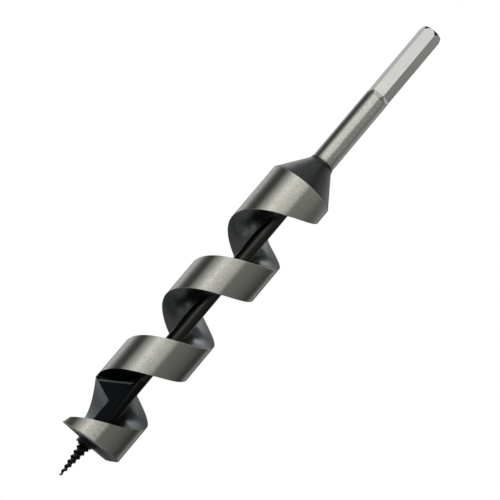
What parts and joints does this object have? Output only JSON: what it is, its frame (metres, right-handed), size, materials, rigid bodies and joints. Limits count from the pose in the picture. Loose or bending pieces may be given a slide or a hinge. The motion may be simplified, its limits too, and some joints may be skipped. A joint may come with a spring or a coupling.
{
  "type": "auger bit",
  "caption": "Wood auger bit with a single flute wound round a solid centre, a cutting lip with a scoring spur, a lead screw, and a round shank that ends in a hexagonal drive.",
  "frame": {"origin": "point of the lead screw, on the bit's axis", "axes": "+Z along the axis from the lead screw's point to the hexagonal drive; -Y is the side that the picture shows, and +X is on its right when the point is down"},
  "size_m": [0.028, 0.028, 0.235],
  "materials": {
    "ground_shank": "bright ground steel, with fine marks",
    "dark_shoulder": "blackened steel, satin",
    "dark_core": "darkened steel, satin",
    "ground_flight": "bright ground land over a darker, satin flute",
    "ground_head": "bright ground land over a darker, ground mouth",
    "ground_spur": "ground steel",
    "dark_collar": "blackened steel, satin",
    "dark_screw": "blackened steel, satin"
  },
  "bodies": {
    "root": {"shank": "ground_shank", "shoulder": "dark_shoulder", "core": "dark_core", "flight": "ground_flight", "cutting_head": "ground_head", "spur": "ground_spur", "nose_collar": "dark_collar", "lead_screw": "dark_screw"}
  },
  "joints": []
}
